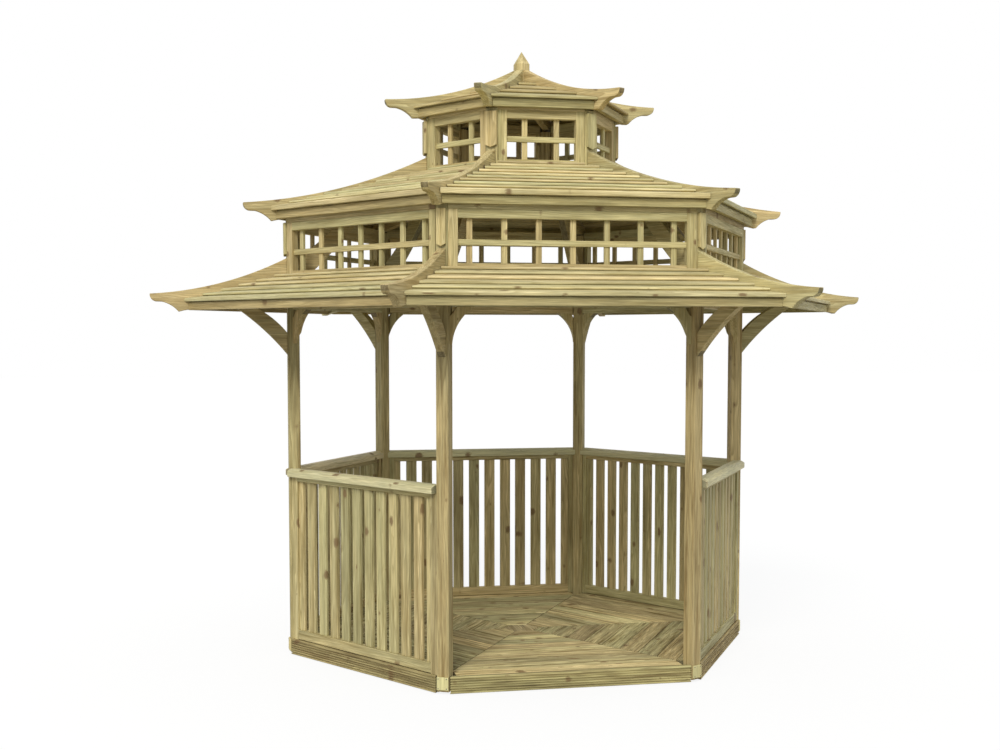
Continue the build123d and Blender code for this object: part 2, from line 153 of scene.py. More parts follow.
@dataclass(frozen=True)
class Softwood:
    """Pressure-treated pine, planed.

    To the eye it is a matt, pale green-tan wood with browner rings and streaks and dark knots, and
    each board has its own tone. The figure reads the "grain" attribute, whose x runs along the
    board in millimetres and whose y and z are measured from the heart of the log it was sawn from.
    """

    name: str
    early: str = "#D2C8A2"
    late: str = "#96855A"
    green: str = "#EFF3E2"
    brown: str = "#F5ECDA"
    knot: str = "#735A38"
    figure: float = 0.6
    streak: float = 0.8
    tone_range: float = 0.1
    knot_radius: float = 11.0
    knot_cell: Flat = (300.0, 0.9)
    end_shade: float = 0.42
    roughness: float = 0.68
    bump: float = 0.4

    def build(self) -> bpy.types.Material:
        """Builds the colour from figure, tone and knots, and a bump and gloss that follow it.

        Returns:
            The material.
        """
        material, node = blank_material(self.name)
        tree = material.node_tree
        grain = node("Attribute", {}, {"attribute_name": "grain"}, "Vector")
        knots = self.knots(tree, grain)
        rings = self.rings(tree, grain, knots)
        # Streaks of sapwood and stain, drawn 24 mm wide so that they show on a whole building
        place = node("VectorMath", {0: grain, 1: pattern_scale(560, 24)}, {"operation": "MULTIPLY"})
        streaks = node("TexNoise", {"Vector": place, "Scale": 1.0, "Detail": 5.0, "Roughness": 0.65})
        # Fibres, drawn 6 mm wide where real ones are far finer
        place = node("VectorMath", {0: grain, 1: pattern_scale(120, 6)}, {"operation": "MULTIPLY"})
        fibres = node("TexNoise", {"Vector": place, "Scale": 1.0, "Detail": 2.0})
        # Slow changes of tone along a board
        place = node("VectorMath", {0: grain, 1: pattern_scale(800, 80)}, {"operation": "MULTIPLY"})
        clouds = node("TexNoise", {"Vector": place, "Scale": 1.0, "Detail": 3.0, "Roughness": 0.6})

        streak = node("MapRange", {0: streaks, 1: 0.4, 2: 0.64, 3: 0.0, 4: self.streak})
        figure = node("Math", {0: rings, 1: self.figure}, {"operation": "MULTIPLY"})
        dark = node("Math", {0: streak, 1: figure}, {"operation": "MAXIMUM"})
        colours = {"data_type": "RGBA"}
        wood = node("Mix", {0: dark, 6: linear(self.early), 7: linear(self.late)}, colours, 2)
        wood = self.toned(tree, wood, clouds, fibres)
        wood = node("Mix", {0: knots, 6: wood, 7: linear(self.knot)}, colours, 2)

        height = node("Math", {0: streaks, 1: 0.8, 2: rings}, {"operation": "MULTIPLY_ADD"})
        height = node("Math", {0: fibres, 1: 0.7, 2: height}, {"operation": "MULTIPLY_ADD"})
        bump = node("Bump", {"Strength": self.bump, "Distance": 0.0012, "Height": height})
        low, high = self.roughness - 0.08, self.roughness + 0.1
        rough = node("MapRange", {0: streaks, 1: 0.3, 2: 0.7, 3: low, 4: high})
        finish = {"Base Color": wood, "Roughness": rough, "Normal": bump, "IOR": 1.45}
        node("OutputMaterial", {"Surface": node("BsdfPrincipled", finish)})
        return material

    def toned(
        self, tree: bpy.types.NodeTree, wood: bpy.types.NodeSocket, clouds: bpy.types.NodeSocket,
        fibres: bpy.types.NodeSocket,
    ) -> bpy.types.NodeSocket:
        """Gives each board its own tone: greener or browner, paler or darker, with dark end grain.

        Args:
            tree: The material's tree.
            wood: The figured colour.
            clouds: Slow noise along the board.
            fibres: Fine noise along the board.

        Returns:
            The toned colour.
        """
        node = partial(add_node, tree)
        tone = node("Attribute", {}, {"attribute_name": "tone"}, "Fac")
        cut = node("Attribute", {}, {"attribute_name": "end_grain"}, "Fac")
        colours = {"data_type": "RGBA"}
        multiply = {"data_type": "RGBA", "blend_type": "MULTIPLY"}
        hue = node("Math", {0: tone, 1: clouds}, {"operation": "ADD"})
        hue = node("MapRange", {0: hue, 1: 0.6, 2: 1.4, 3: 0.0, 4: 1.0})
        tint = node("Mix", {0: hue, 6: linear(self.green), 7: linear(self.brown)}, colours, 2)
        wood = node("Mix", {0: 1.0, 6: wood, 7: tint}, multiply, 2)
        spread = node("Math", {0: tone, 1: 7.31}, {"operation": "MULTIPLY"})
        spread = node("Math", {0: spread}, {"operation": "FRACT"})
        level = node("MapRange", {0: spread, 3: 1.05 - self.tone_range, 4: 1.05 + self.tone_range})
        shade = node("MapRange", {0: clouds, 1: 0.3, 2: 0.7, 3: 0.84, 4: 1.12})
        fleck = node("MapRange", {0: fibres, 1: 0.32, 2: 0.68, 3: 0.8, 4: 1.12})
        ends = node("MapRange", {0: cut, 3: 1.0, 4: self.end_shade})
        for factor in (shade, fleck, ends):
            level = node("Math", {0: level, 1: factor}, {"operation": "MULTIPLY"})
        grey = node("CombineColor", {0: level, 1: level, 2: level})
        return node("Mix", {0: 1.0, 6: wood, 7: grey}, multiply, 2)

    def knots(self, tree: bpy.types.NodeTree, grain: bpy.types.NodeSocket) -> bpy.types.NodeSocket:
        """Knots, as branches that grow out from the heart: round on flat-sawn faces, spikes on others.

        Args:
            tree: The material's tree.
            grain: The grain attribute.

        Returns:
            Near 1 inside a knot and 0 away from it.
        """
        node = partial(add_node, tree)
        along, turn = self.knot_cell
        x, y, z = (node("SeparateXYZ", {0: grain}, out=axis) for axis in range(3))
        angle = node("Math", {0: z, 1: y}, {"operation": "ARCTAN2"})
        ring = node("CombineXYZ", {1: y, 2: z})
        radius = node("VectorMath", {0: ring}, {"operation": "LENGTH"}, "Value")
        place = node("CombineXYZ", {0: x, 1: angle})
        cells = node("VectorMath", {0: place, 1: (1 / along, 1 / turn, 1)}, {"operation": "MULTIPLY"})
        flat = {"voronoi_dimensions": "2D"}
        nearest = node("TexVoronoi", {"Vector": cells, "Scale": 1.0}, flat, "Position")
        chance = node("TexVoronoi", {"Vector": cells, "Scale": 1.0}, flat, "Color")
        offset = node("VectorMath", {0: cells, 1: nearest}, {"operation": "SUBTRACT"})
        width = node("Math", {0: radius, 1: turn}, {"operation": "MULTIPLY"})
        size = node("CombineXYZ", {0: along * 0.6, 1: width})
        gap = node("VectorMath", {0: offset, 1: size}, {"operation": "MULTIPLY"})
        distance = node("VectorMath", {0: gap}, {"operation": "LENGTH"}, "Value")
        place = node("VectorMath", {0: grain, 1: pattern_scale(26, 14)}, {"operation": "MULTIPLY"})
        ragged = node("TexNoise", {"Vector": place, "Scale": 1.0, "Detail": 3.0})
        edge = node("Math", {0: ragged, 1: 14.0, 2: distance}, {"operation": "MULTIPLY_ADD"})
        # Four branches in ten are too small to show, and the rest are of every size
        branch = node("SeparateColor", {0: chance})
        size = node("MapRange", {0: branch, 1: 0.4, 2: 1.0, 3: 2.0, 4: self.knot_radius * 2.2})
        inside = node("Math", {0: size, 1: edge}, {"operation": "SUBTRACT"})
        rim, core = self.knot_radius * -0.5, self.knot_radius * 0.4
        return node("MapRange", {0: inside, 1: rim, 2: core, 3: 0.0, 4: 0.85})

    def rings(
        self, tree: bpy.types.NodeTree, grain: bpy.types.NodeSocket, knots: bpy.types.NodeSocket,
    ) -> bpy.types.NodeSocket:
        """Growth rings about a wandering heart, which bend round the knots.

        They are drawn 9 mm apart, three times the real spacing, to show on a whole building.

        Args:
            tree: The material's tree.
            grain: The grain attribute.
            knots: The knot mask.

        Returns:
            0 at the start of a year's growth, rising to 1 at its end.
        """
        node = partial(add_node, tree)
        ring = node("VectorMath", {0: grain, 1: (0, 1, 1)}, {"operation": "MULTIPLY"})
        radius = node("VectorMath", {0: ring}, {"operation": "LENGTH"}, "Value")
        slow = node("VectorMath", {0: grain, 1: pattern_scale(700, 90)}, {"operation": "MULTIPLY"})
        wander = node("TexNoise", {"Vector": slow, "Scale": 1.0, "Detail": 2.0})
        radius = node("Math", {0: wander, 1: 80.0, 2: radius}, {"operation": "MULTIPLY_ADD"})
        radius = node("Math", {0: knots, 1: 14.0, 2: radius}, {"operation": "MULTIPLY_ADD"})
        year = node("Math", {0: radius, 1: 9.0}, {"operation": "DIVIDE"})
        phase = node("Math", {0: year}, {"operation": "FRACT"})
        rise = node("MapRange", {0: phase, 1: 0.15, 2: 0.85, 3: 0.0, 4: 1.0})
        fall = node("MapRange", {0: phase, 1: 0.88, 2: 1.0, 3: 1.0, 4: 0.0})
        return node("Math", {0: rise, 1: fall}, {"operation": "MULTIPLY"})


@dataclass(frozen=True)
class GalvanisedSteel:
    """Hot-dipped steel nail heads: dull grey zinc to the eye, its gloss broken up by spangle."""

    name: str = "galvanised_nail"
    colour: str = "#77756A"

    def build(self) -> bpy.types.Material:
        """Builds a metal whose gloss varies from crystal to crystal.

        Returns:
            The material.
        """
        material, node = blank_material(self.name)
        place = node("TexCoord", {}, out="Object")
        # Crystals of zinc about a millimetre across
        spangle = node("TexNoise", {"Vector": place, "Scale": 900.0, "Detail": 2.0})
        rough = node("MapRange", {0: spangle, 3: 0.35, 4: 0.6})
        zinc = {"Base Color": linear(self.colour), "Roughness": rough, "Metallic": 0.9}
        node("OutputMaterial", {"Surface": node("BsdfPrincipled", zinc)})
        return material


def side_half(reach: float, gap: float) -> float:
    """Half the width of a side at a distance out, stopped a gap short of the corner line."""
    return (reach * math.sin(HALF_CORNER) - gap) / math.cos(HALF_CORNER)


def corner_cuts(*gaps: float) -> list[Cut]:
    """The upright saw cuts that stop a side's board short of its corner lines.

    Args:
        gaps: How far short, for both ends or for each.

    Returns:
        A point and an outward normal for each cut.
    """
    cuts = []
    for sign, gap in zip((-1, 1), gaps * 2):
        normal = Vector((-math.sin(HALF_CORNER), sign * math.cos(HALF_CORNER), 0))
        cuts.append((normal * -gap, normal))
    return cuts


def saw(board: bmesh.types.BMesh, cuts: Iterable[Cut]) -> None:
    """Cuts a board by planes, clears what lies beyond each and closes the end.

    Args:
        board: The board to cut.
        cuts: Points and outward normals.
    """
    for point, normal in cuts:
        geometry = board.verts[:] + board.edges[:] + board.faces[:]
        cut = bmesh.ops.bisect_plane(
            board, geom=geometry, plane_co=point, plane_no=normal, clear_outer=True,
        )
        rim = [e for e in cut["geom_cut"] if isinstance(e, bmesh.types.BMEdge)]
        bmesh.ops.holes_fill(board, edges=rim, sides=0)
    bmesh.ops.recalc_face_normals(board, faces=board.faces)


def ease(board: bmesh.types.BMesh, radius: float, segments: int = 1) -> None:
    """Takes the sharpness off a board's arrises, and leaves the edges along its curves.

    Args:
        board: The board to ease.
        radius: How far the arrises are eased.
        segments: Facets of each eased arris.
    """
    sharp = [e for e in board.edges if e.is_manifold and e.calc_face_angle(0) > ARRIS]
    bmesh.ops.bevel(
        board, geom=sharp, offset=radius, segments=segments, profile=0.5, affect="EDGES",
        material=-1, clamp_overlap=True,
    )


def sawn(
    low: Point, high: Point, cuts: Sequence[Cut] = (), radius: float = 2.0, segments: int = 1,
) -> bmesh.types.BMesh:
    """A straight board between two corners of its box, cut and with eased arrises.

    Args:
        low: The box's lowest corner.
        high: The box's highest corner.
        cuts: Saw cuts, as points and outward normals.
        radius: How far the arrises are eased.
        segments: Facets of each eased arris.

    Returns:
        The board as a bmesh.
    """
    board = bmesh.new()
    bmesh.ops.create_cube(board, size=1.0)
    size = Vector(high) - Vector(low)
    middle = (Vector(high) + Vector(low)) / 2
    bmesh.ops.scale(board, vec=size, verts=board.verts)
    bmesh.ops.translate(board, vec=middle, verts=board.verts)
    saw(board, cuts)
    ease(board, radius, segments)
    return board


def moulded(
    outline: Sequence[Flat], start: float, end: float, cuts: Sequence[Cut] = (), radius: float = 2.0,
    upright: bool = True,
) -> bmesh.types.BMesh:
    """A board with a drawn outline, extruded through its thickness or along its length.

    Args:
        outline: Points of the outline in order: x and z where it stands upright, else y and z.
        start: Where the extrusion starts: y where it stands upright, else x.
        end: Where it ends.
        cuts: Saw cuts, as points and outward normals.
        radius: How far the arrises are eased.
        upright: Whether the outline lies in the XZ plane rather than in YZ.

    Returns:
        The board as a bmesh.
    """
    board = bmesh.new()
    points = [(a, start, b) if upright else (start, a, b) for a, b in outline]
    face = board.faces.new([board.verts.new(point) for point in points])
    grown = bmesh.ops.extrude_face_region(board, geom=[face])
    moved = [v for v in grown["geom"] if isinstance(v, bmesh.types.BMVert)]
    way = Vector((0, end - start, 0)) if upright else Vector((end - start, 0, 0))
    bmesh.ops.translate(board, vec=way, verts=moved)
    saw(board, cuts)
    if radius:
        ease(board, radius)
    return board


def six_sided(flat: float, foot: float, head: float, turn: float) -> bmesh.types.BMesh:
    """An upright six-sided prism round the centre.

    Args:
        flat: The distance from the centre to its flats.
        foot: The height of its lower end.
        head: The height of its upper end.
        turn: Degrees about +Z, where 0 turns its flats to the corners and 30 to the sides.

    Returns:
        The prism as a bmesh.
    """
    board = bmesh.new()
    radius = flat / math.cos(HALF_CORNER)
    bmesh.ops.create_cone(
        board, cap_ends=True, segments=6, radius1=radius, radius2=radius, depth=head - foot,
    )
    turned = Matrix.Rotation(math.radians(turn), 3, "Z")
    bmesh.ops.translate(board, vec=(0, 0, (foot + head) / 2), verts=board.verts)
    bmesh.ops.rotate(board, cent=(0, 0, 0), matrix=turned, verts=board.verts)
    return board


def arc(start: Flat, through: Flat, end: Flat, steps: int) -> list[Flat]:
    """Points on the circular arc through three points.

    Args:
        start: Where the arc starts.
        through: A point that it passes through.
        end: Where it ends.
        steps: How many straight steps stand for it.

    Returns:
        Its points, from the start to the end.
    """
    (ax, ay), (bx, by), (cx, cy) = start, through, end
    d = 2 * (ax * (by - cy) + bx * (cy - ay) + cx * (ay - by))
    ux = ((ax**2 + ay**2) * (by - cy) + (bx**2 + by**2) * (cy - ay) + (cx**2 + cy**2) * (ay - by)) / d
    uy = ((ax**2 + ay**2) * (cx - bx) + (bx**2 + by**2) * (ax - cx) + (cx**2 + cy**2) * (bx - ax)) / d
    radius = math.hypot(ax - ux, ay - uy)
    first, middle, last = (math.atan2(y - uy, x - ux) for x, y in (start, through, end))
    sweep = (last - first) % math.tau
    if (middle - first) % math.tau > sweep:
        sweep -= math.tau
    turns = [first + sweep * i / steps for i in range(steps + 1)]
    return [(ux + radius * math.cos(turn), uy + radius * math.sin(turn)) for turn in turns]


class Piece:
    """One named piece of the gazebo: its boards, each with its own grain, in one mesh."""

    # Where in a log a board may be sawn from: how far from the heart in one direction, how far at
    # most in the other, and how far at most along the log
    HEART = (15, 110)
    LEVEL = 70
    ALONG = 9e3
    # How squarely a face looks along the grain to count as end grain
    END = 0.75

    def __init__(self, name: str, seed: int) -> None:
        """Starts an empty piece with its own repeatable run of chance.

        Args:
            name: The piece's name.
            seed: Where its run of chance starts.
        """
        self.name = name
        self.chance = random.Random(seed)
        self.mesh = bmesh.new()
        self.grain = self.mesh.verts.layers.float_vector.new("grain")
        self.tone = self.mesh.verts.layers.float.new("tone")
        self.cut = self.mesh.faces.layers.float.new("end_grain")

    def add(self, board: bmesh.types.BMesh, grain: Grain, turn: float = 0.0, finish: int = 0) -> None:
        """Lays grain over a finished board, turns it about +Z and joins it to the piece.

        Args:
            board: The board in its master's place. It is used up.
            grain: The axis that the grain runs along.
            turn: Degrees about +Z to its place.
            finish: The material's number on this piece.
        """
        start = len(self.mesh.verts), len(self.mesh.faces)
        spare = bpy.data.meshes.new("spare")
        board.to_mesh(spare)
        board.free()
        self.mesh.from_mesh(spare)
        bpy.data.meshes.remove(spare)
        self.mesh.verts.ensure_lookup_table()
        self.mesh.faces.ensure_lookup_table()
        verts = self.mesh.verts[start[0]:]
        faces = self.mesh.faces[start[1]:]
        middle = sum((v.co for v in verts), Vector()) / len(verts)
        heart = self.chance.choice((-1, 1)) * self.chance.uniform(*self.HEART)
        along = self.chance.uniform(-self.ALONG, self.ALONG)
        log = Vector((along, heart, self.chance.uniform(-self.LEVEL, self.LEVEL)))
        tone = self.chance.random()
        order = (grain.value, (grain.value + 1) % 3, (grain.value + 2) % 3)
        for vert in verts:
            local = vert.co - middle
            vert[self.grain] = Vector([local[i] for i in order]) + log
            vert[self.tone] = tone
        for face in faces:
            face.normal_update()
            face[self.cut] = 1.0 if abs(face.normal[grain.value]) > self.END else 0.0
            face.material_index = finish
        turned = Matrix.Rotation(math.radians(turn), 3, "Z")
        bmesh.ops.rotate(self.mesh, cent=(0, 0, 0), matrix=turned, verts=verts)

    def finish(self, materials: Sequence[bpy.types.Material], slot: str, *nodes: str) -> None:
        """Turns the piece into an object in metres that rides on the gazebo.

        Args:
            materials: One for each finish number that the boards use.
            slot: The record's material slot. It is not used.
            nodes: CAD nodes that the piece stands for.
        """
        bmesh.ops.scale(self.mesh, vec=(MM, MM, MM), verts=self.mesh.verts)
        data = bpy.data.meshes.new(self.name)
        self.mesh.to_mesh(data)
        self.mesh.free()
        for material in materials:
            data.materials.append(material)
        piece = bpy.data.objects.new(self.name, data)
        bpy.context.scene.collection.objects.link(piece)
        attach(piece, ROOT)
        if nodes:
            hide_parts(*nodes)
        LOG.info("%s: %d faces", self.name, len(data.polygons))


@dataclass
class Finishes:
    """The gazebo's materials, one for each kind of timber."""

    # Sawn and planed framing, half hidden: plain tan
    frame: bpy.types.Material = field(default_factory=Softwood("treated_frame").build)
    # Posts planed from the heart of the log: darker, greener and strongly streaked
    post: bpy.types.Material = field(default_factory=Softwood(
        "treated_post", early="#CEC298", late="#85734A", streak=0.9,
    ).build)
    # Curved rafters and braces, band-sawn: long figure that runs out over the curve
    rafter: bpy.types.Material = field(default_factory=Softwood(
        "treated_rafter", early="#D4C79E", late="#978457",
    ).build)
    # Thin roof boards of clean sapwood: the palest timber, bleached on its upper face
    roof: bpy.types.Material = field(default_factory=Softwood(
        "treated_roof_board", early="#DDD4AF", late="#A29568", streak=0.8, tone_range=0.12,
        knot_cell=(420.0, 1.1),
    ).build)
    # The top roof's boards, heartwood: a shade browner than the rest
    high_roof: bpy.types.Material = field(default_factory=Softwood(
        "treated_heartwood_board", early="#C8BC92", late="#8C7D52", streak=0.8, knot_cell=(420.0, 1.1),
    ).build)
    # Slats cut from many logs: each has a tone of its own
    panel: bpy.types.Material = field(default_factory=Softwood(
        "treated_panel", early="#D4C9A0", late="#8A7B50", streak=0.85, tone_range=0.14,
    ).build)
    # Handrails of chosen timber, planed smooth: creamy and nearly clear
    rail: bpy.types.Material = field(default_factory=Softwood(
        "treated_handrail", early="#E0D9BA", late="#B9AE86", streak=0.5, tone_range=0.06, roughness=0.6,
    ).build)
    # Thin lattice bars: straight grain and small knots
    lattice: bpy.types.Material = field(default_factory=Softwood(
        "treated_lattice", early="#D4C89F", late="#978759", knot_radius=8.0, tone_range=0.12,
    ).build)
    # Ribbed decking, walked on and rained on: rougher, with light and dark boards
    deck: bpy.types.Material = field(default_factory=Softwood(
        "treated_decking", early="#DED3AA", late="#78693F", streak=0.95, tone_range=0.28, roughness=0.75,
    ).build)
    # The same boards on edge round the base, stained by splashes
    skirt: bpy.types.Material = field(default_factory=Softwood(
        "treated_reeded_board", early="#C6BA8D", late="#746340", streak=0.9, roughness=0.75,
    ).build)
    # Fresh offcuts on the posts' feet: pale, with hardly any figure
    plate: bpy.types.Material = field(default_factory=Softwood(
        "pale_foot_plate", early="#DAD3A8", late="#C2BA8A", figure=0.3, streak=0.4, tone_range=0.05,
        knot_radius=1.0, end_shade=0.9,
    ).build)
    nail: bpy.types.Material = field(default_factory=GalvanisedSteel().build)


@dataclass
class Base:
    """The deck, what carries it, its reeded skirt and the plates on the posts' feet.

    A reed's outline is given in shares of the pitch across the board and in drops below its crown.
    """

    finishes: Finishes
    deck_top: float = 95.0
    deck_thick: float = 28.0
    deck_edge: float = 1235.0
    deck_end: float = 639.0
    centre_flat: float = 97.0
    rows: int = 9
    gap: float = 5.0
    rib_count: int = 10
    rib_depth: float = 2.4
    beam_in: float = 1190.0
    skirt_out: float = 1263.0
    skirt_foot: float = 2.0
    skirt_end_gap: float = 42.0
    reed_count: int = 7
    reed_depth: float = 6.5
    reed_crown: Curve = ((0.14, 0.4), (0.36, 0.0), (0.55, 0.5))
    reed_groove: Flat = (0.7, 0.96)
    reed_edge: float = 2.0
    joist_wide: float = 45.0
    hub_flat: float = 60.0
    plate_z: Flat = (21.0, 92.0)
    plate_wide: float = 66.0
    plate_thick: float = 10.0
    nail_inset: float = 9.0
    nail_radius: float = 3.4
    nail_dome: float = 0.35

    def build(self) -> None:
        """Builds every piece of the base."""
        self.joists()
        self.deck()
        self.skirt()
        self.foot_plates()

    def joists(self) -> None:
        """The rim joists, the joists to the corners and the hub that they meet at."""
        top = self.deck_top - self.deck_thick
        rims = Piece("rim_joist_boards", 11)
        for angle in SIDES.values():
            board = sawn((self.beam_in, -UNCUT, 0), (self.deck_edge, UNCUT, top), corner_cuts(POST_HALF))
            rims.add(board, Grain.Y, angle)
        rims.finish([self.finishes.frame], "treated_frame", "rim_joists")
        radial = Piece("corner_joist_boards", 12)
        half = self.joist_wide / 2
        for angle in CORNERS.values():
            board = sawn((self.hub_flat, -half, 0), (POST_CIRCLE - POST_HALF, half, top))
            radial.add(board, Grain.X, angle)
        radial.finish([self.finishes.frame], "treated_frame", "deck_joists")
        hub = Piece("hub_block", 13)
        block = six_sided(self.hub_flat, 0, top, 0)
        ease(block, 2.0)
        hub.add(block, Grain.Z)
        hub.finish([self.finishes.frame], "treated_frame", "deck_hub")

    def reeds(self, low: float, high: float, face: float, depth: float, count: int) -> list[Flat]:
        """Points of a reeded face: rounded ribs between narrow grooves.

        Args:
            low: Where the board's width starts.
            high: Where it ends.
            face: The height of the ribs' crowns.
            depth: The grooves' depth.
            count: The number of ribs.

        Returns:
            Pairs of position across the board and height, from low to high.
        """
        pitch = (high - low) / count
        points = [(low, face - self.reed_edge)]
        for rib in range(count):
            start = low + rib * pitch
            points += [(start + pitch * share, face - drop) for share, drop in self.reed_crown]
            if rib < count - 1:
                points += [(start + pitch * share, face - depth) for share in self.reed_groove]
        return points + [(high, face - self.reed_edge)]

    def deck(self) -> None:
        """Deck boards, mitred to the seams that run to the posts, round a small hexagon."""
        low, top = self.deck_top - self.deck_thick, self.deck_top
        pitch = (self.deck_edge - self.centre_flat) / self.rows
        deck = Piece("decking_boards", 21)
        for angle in SIDES.values():
            for row in range(self.rows):
                inner = self.centre_flat + row * pitch + self.gap
                outer = self.centre_flat + (row + 1) * pitch
                outline = self.reeds(inner, outer, top, self.rib_depth, self.rib_count)
                outline += [(outer, low), (inner, low)]
                cuts = corner_cuts(self.gap / 2)
                if row == self.rows - 1:
                    # The outermost boards end square, clear of the posts
                    ways = (Vector((0, -1, 0)), Vector((0, 1, 0)))
                    cuts += [(way * self.deck_end, way) for way in ways]
                deck.add(moulded(outline, -UNCUT, UNCUT, cuts, radius=0), Grain.Y, angle)
        centre = six_sided(self.centre_flat, low, top, 30)
        ease(centre, 2.0)
        deck.add(centre, Grain.Y)
        deck.finish([self.finishes.deck], "deck_timber", "deck_boards")

    def skirt(self) -> None:
        """Reeded decking boards set on edge round the base."""
        skirt = Piece("reeded_skirt_boards", 31)
        foot, head = self.skirt_foot, self.deck_top
        ribs = self.reeds(foot, head, self.skirt_out, self.reed_depth, self.reed_count)
        outline = [(x, z) for z, x in ribs] + [(self.deck_edge, head), (self.deck_edge, foot)]
        ends = corner_cuts(self.skirt_end_gap)
        for angle in SIDES.values():
            skirt.add(moulded(outline, -UNCUT, UNCUT, ends, radius=0), Grain.Y, angle)
        skirt.finish([self.finishes.skirt], "grooved_board", "skirt_boards")

    def foot_plates(self) -> None:
        """Pale plates nailed to the outer faces of the posts' feet."""
        plates = Piece("nailed_foot_plates", 41)
        half = self.plate_wide / 2
        low, high = self.plate_z
        front = POST_FACE + self.plate_thick
        for angle in CORNERS.values():
            plate = sawn((POST_FACE, -half, low), (front, half, high), radius=2.5, segments=2)
            plates.add(plate, Grain.Z, angle)
            for y in (self.nail_inset - half, half - self.nail_inset):
                for z in (low + self.nail_inset, high - self.nail_inset):
                    plates.add(self.nail((front, y, z)), Grain.Z, angle, finish=1)
        plates.finish([self.finishes.plate, self.finishes.nail], "foot_plate", "foot_plates")

    def nail(self, place: Point) -> bmesh.types.BMesh:
        """A domed nail head.

        Args:
            place: The middle of the head, on the face that it is driven into.

        Returns:
            The head as a bmesh.
        """
        head = bmesh.new()
        bmesh.ops.create_uvsphere(head, u_segments=10, v_segments=6, radius=self.nail_radius)
        bmesh.ops.scale(head, vec=(self.nail_dome, 1, 1), verts=head.verts)
        bmesh.ops.translate(head, vec=place, verts=head.verts)
        return head


@dataclass
class Posts:
    """The corner posts: from the ground to the middle roof, and the upper storey's own."""

    finishes: Finishes
    foot: float = 10.0
    beam_top: float = 2221.0
    middle_top: float = 2620.0
    upper_circle: float = 555.0
    upper_foot: float = 2862.0
    upper_top: float = 3230.0
    arris: float = 4.5

    def build(self) -> None:
        """Builds the posts of all three storeys."""
        for number, (name, angle) in enumerate(CORNERS.items()):
            post = Piece(f"corner_post_{name}", 50 + number)
            post.add(self.post(POST_CIRCLE, self.foot, self.beam_top), Grain.Z, angle)
            post.finish([self.finishes.post], "treated_post", f"post_{name}")
        middle = self.post(POST_CIRCLE, self.beam_top, self.middle_top)
        upper = self.post(self.upper_circle, self.upper_foot, self.upper_top)
        self.ring("middle_storey_posts", 61, middle, "middle_corner_posts")
        self.ring("upper_storey_posts", 62, upper, "upper_corner_posts")

    def post(self, circle: float, foot: float, head: float) -> bmesh.types.BMesh:
        """One square post with rounded arrises."""
        low, high = (circle - POST_HALF, -POST_HALF, foot), (circle + POST_HALF, POST_HALF, head)
        return sawn(low, high, radius=self.arris, segments=3)

    def ring(self, name: str, seed: int, master: bmesh.types.BMesh, node: str) -> None:
        """Builds a storey's six posts as one piece.

        Args:
            name: The piece's name.
            seed: Where its run of chance starts.
            master: The post to repeat. It is used up.
            node: The CAD node that the piece stands for.
        """
        posts = Piece(name, seed)
        for angle in CORNERS.values():
            posts.add(master.copy(), Grain.Z, angle)
        master.free()
        posts.finish([self.finishes.post], "treated_post", node)


@dataclass
class Balustrade:
    """Framed panels of upright slats under bevelled handrails, on every side but the entrance."""

    finishes: Finishes
    inner: float = 1205.0
    outer: float = 1250.0
    stile: float = 33.0
    stile_gap: float = 1.5
    foot: float = 95.0
    foot_rail: Flat = (99.0, 155.0)
    head: float = 1080.0
    head_rail: float = 27.0
    slat_count: int = 12
    slat_pitch: float = 111.0
    slat_wide: float = 72.0
    slat_thick: float = 20.0
    slat_arris: float = 5.0
    slat_stray: float = 1.5
    housing: float = 2.0
    rail_out: float = 1286.0
    rail_deep: float = 95.0
    rail_tall: float = 48.0
    rail_long: float = 1350.0
    rail_bevel: Flat = (14.0, 26.0)

    def build(self) -> None:
        """Builds the five panels and their handrails."""
        rails = Piece("bevelled_handrails", 90)
        for number, (name, angle) in enumerate(SIDES.items()):
            if name == ENTRANCE:
                continue
            self.panel(name, angle, 70 + number)
            rails.add(self.rail(), Grain.Y, angle)
        rails.finish([self.finishes.rail], "balustrade_timber", "handrails")

    def panel(self, name: str, angle: float, seed: int) -> None:
        """Builds one framed panel.

        Args:
            name: The side that it stands on.
            angle: Degrees about +Z to that side.
            seed: Where the piece's run of chance starts.
        """
        panel = Piece(f"slatted_panel_{name}", seed)
        clear = side_half(self.inner, POST_HALF) - self.stile
        ends = corner_cuts(POST_HALF + self.stile_gap)
        for sign in (-1, 1):
            low, high = sorted((sign * clear, sign * UNCUT))
            stile = sawn((self.inner, low, self.foot), (self.outer, high, self.head), ends)
            panel.add(stile, Grain.Z, angle)
        head_low = self.head - self.head_rail
        low, high = self.foot_rail
        panel.add(sawn((self.inner, -clear, head_low), (self.outer, clear, self.head)), Grain.Y, angle)
        panel.add(sawn((self.inner, -clear, low), (self.outer, clear, high)), Grain.Y, angle)
        middle = (self.inner + self.outer) / 2
        back, front = middle - self.slat_thick / 2, middle + self.slat_thick / 2
        # The slats' ends are housed in the rails
        low, high = high - self.housing, head_low + self.housing
        for slat in range(self.slat_count):
            stray = panel.chance.uniform(-self.slat_stray, self.slat_stray)
            y = (slat - (self.slat_count - 1) / 2) * self.slat_pitch + stray
            left, right = y - self.slat_wide / 2, y + self.slat_wide / 2
            board = sawn((back, left, low), (front, right, high), radius=self.slat_arris, segments=3)
            panel.add(board, Grain.Z, angle)
        panel.finish([self.finishes.panel], "balustrade_timber", f"panel_{name}")

    def rail(self) -> bmesh.types.BMesh:
        """A square-cut handrail with broad bevels along its top.

        Returns:
            The handrail as a bmesh.
        """
        drop, run = self.rail_bevel
        inner, top = self.rail_out - self.rail_deep, self.head + self.rail_tall
        outline = [(inner, self.head), (self.rail_out, self.head), (self.rail_out, top - drop)]
        outline += [(self.rail_out - run, top), (inner + run, top), (inner, top - drop)]
        return moulded(outline, -self.rail_long / 2, self.rail_long / 2, radius=3.0)


